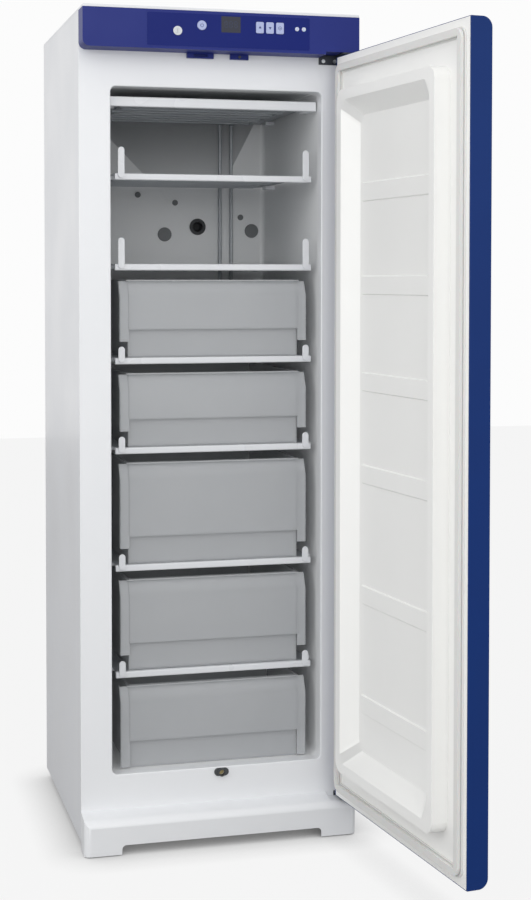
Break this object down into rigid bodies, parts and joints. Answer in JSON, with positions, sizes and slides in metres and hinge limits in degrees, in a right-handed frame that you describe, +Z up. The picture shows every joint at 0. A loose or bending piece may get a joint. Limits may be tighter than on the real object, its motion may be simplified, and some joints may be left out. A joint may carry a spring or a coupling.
{
  "type": "freezer",
  "caption": "Upright freezer with a hinged solid door, evaporator shelves, pull-out translucent drawers, a header with controls, a plinth, feet and rollers.",
  "frame": {"origin": "on the floor, midway between the sides, in the plane of the front frame where the door gasket seals", "axes": "+X to the right seen from the front, +Y to the back, +Z up"},
  "size_m": [0.6614, 1.1939, 1.785],
  "materials": {
    "cabinet_paint": "gloss powder coat",
    "frame_white": "gloss powder coat",
    "liner_white": "satin moulded liner",
    "foam": "rigid insulating foam",
    "header_blue": "gloss moulding",
    "fascia_blue": "gloss film",
    "display_dark": "dark window",
    "lamp_clear": "clear lens",
    "board_green": "circuit board",
    "button_grey": "satin",
    "black_plastic": "satin",
    "hinge_steel": "dark coated steel",
    "zinc_steel": "zinc plated",
    "evaporator": "coated aluminium",
    "trim_white": "gloss",
    "copper": "bare copper tube",
    "condenser_black": "matt black",
    "compressor_black": "gloss black",
    "rubber": "soft",
    "door_blue": "gloss powder coat",
    "door_edge": "gloss moulding",
    "door_liner": "satin moulded liner",
    "gasket": "soft white seal",
    "drawer_clear": "translucent grey"
  },
  "bodies": {
    "cabinet": {"side_panel_left": "cabinet_paint", "side_panel_right": "cabinet_paint", "back_panel": "cabinet_paint", "top_cover": "header_blue", "insulation": "foam", "inner_liner": "liner_white", "front_frame": "frame_white", "base_frame": "zinc_steel", "plinth": "frame_white", "header_housing": "header_blue", "control_fascia": "fascia_blue", "display_window": "display_dark", "indicator_lamps": "lamp_clear", "control_board": "board_green", "lock_keeper": "header_blue", "door_switch": "header_blue", "upper_hinge": "hinge_steel", "lower_hinge": "hinge_steel", "hinge_pins": "zinc_steel", "hinge_screws": "zinc_steel", "evaporator_shelves": "evaporator", "riser_tubes": "evaporator", "shelf_trims": "trim_white", "shelf_brackets": "trim_white", "access_port": "black_plastic", "wall_plugs": "black_plastic", "drain_spout": "black_plastic", "compressor": "compressor_black", "compressor_mounts": "rubber", "start_relay": "black_plastic", "condenser": "condenser_black", "filter_drier": "copper", "refrigerant_pipes": "copper", "drip_tray": "black_plastic", "cable_gland": "black_plastic", "roller_axles": "zinc_steel", "key_barrel": "zinc_steel"},
    "door": {"door_skin": "door_blue", "door_edge_free": "door_edge", "door_edge_hinge": "door_edge", "door_foam": "foam", "door_liner": "door_liner", "door_gasket": "gasket", "door_bushes": "black_plastic", "grip_cup": "door_edge"},
    "drawer_1": {"drawer_1": "drawer_clear"},
    "drawer_2": {"drawer_2": "drawer_clear"},
    "drawer_3": {"drawer_3": "drawer_clear"},
    "drawer_4": {"drawer_4": "drawer_clear"},
    "drawer_5": {"drawer_5": "drawer_clear"},
    "power_button": {"power_button": "button_grey"},
    "button_1": {"button_1": "button_grey"},
    "button_2": {"button_2": "button_grey"},
    "button_3": {"button_3": "button_grey"},
    "key_switch": {"key_switch": "zinc_steel"},
    "switch_plunger": {"switch_plunger": "black_plastic"},
    "foot_left": {"foot_left": "black_plastic"},
    "foot_right": {"foot_right": "black_plastic"},
    "roller_left": {"roller_left": "black_plastic"},
    "roller_right": {"roller_right": "black_plastic"}
  },
  "joints": [
    {"name": "door_hinge", "type": "hinge", "parent": "cabinet", "child": "door", "pos_m": [0.288, -0.044, 0.088], "axis": [0, 0, 1], "range_deg": [-96, 14]},
    {"name": "drawer_1_slide", "type": "slide", "parent": "cabinet", "child": "drawer_1", "axis": [0, -1, 0], "range_m": [0, 0.34]},
    {"name": "drawer_2_slide", "type": "slide", "parent": "cabinet", "child": "drawer_2", "axis": [0, -1, 0], "range_m": [0, 0.34]},
    {"name": "drawer_3_slide", "type": "slide", "parent": "cabinet", "child": "drawer_3", "axis": [0, -1, 0], "range_m": [0, 0.34]},
    {"name": "drawer_4_slide", "type": "slide", "parent": "cabinet", "child": "drawer_4", "axis": [0, -1, 0], "range_m": [0, 0.34]},
    {"name": "drawer_5_slide", "type": "slide", "parent": "cabinet", "child": "drawer_5", "axis": [0, -1, 0], "range_m": [0, 0.2]},
    {"name": "power_button_press", "type": "slide", "parent": "cabinet", "child": "power_button", "axis": [0, 1, 0], "range_m": [0, 0.0012], "stiffness_N_per_m": 600},
    {"name": "button_1_press", "type": "slide", "parent": "cabinet", "child": "button_1", "axis": [0, 1, 0], "range_m": [0, 0.0012], "stiffness_N_per_m": 600},
    {"name": "button_2_press", "type": "slide", "parent": "cabinet", "child": "button_2", "axis": [0, 1, 0], "range_m": [0, 0.0012], "stiffness_N_per_m": 600},
    {"name": "button_3_press", "type": "slide", "parent": "cabinet", "child": "button_3", "axis": [0, 1, 0], "range_m": [0, 0.0012], "stiffness_N_per_m": 600},
    {"name": "key_turn", "type": "hinge", "parent": "cabinet", "child": "key_switch", "pos_m": [-0.1, -0.05, 1.736], "axis": [0, 1, 0], "range_deg": [0, 90]},
    {"name": "switch_press", "type": "slide", "parent": "cabinet", "child": "switch_plunger", "axis": [0, 1, 0], "range_m": [0, 0.0025], "stiffness_N_per_m": 300},
    {"name": "foot_left_screw", "type": "hinge", "parent": "cabinet", "child": "foot_left", "pos_m": [-0.25, 0.04, 0.02], "axis": [0, 0, 1], "continuous": true},
    {"name": "foot_right_screw", "type": "hinge", "parent": "cabinet", "child": "foot_right", "pos_m": [0.25, 0.04, 0.02], "axis": [0, 0, 1], "continuous": true},
    {"name": "roller_left_spin", "type": "hinge", "parent": "cabinet", "child": "roller_left", "pos_m": [-0.238, 0.5, 0.015], "axis": [1, 0, 0], "continuous": true},
    {"name": "roller_right_spin", "type": "hinge", "parent": "cabinet", "child": "roller_right", "pos_m": [0.238, 0.5, 0.015], "axis": [1, 0, 0], "continuous": true}
  ]
}
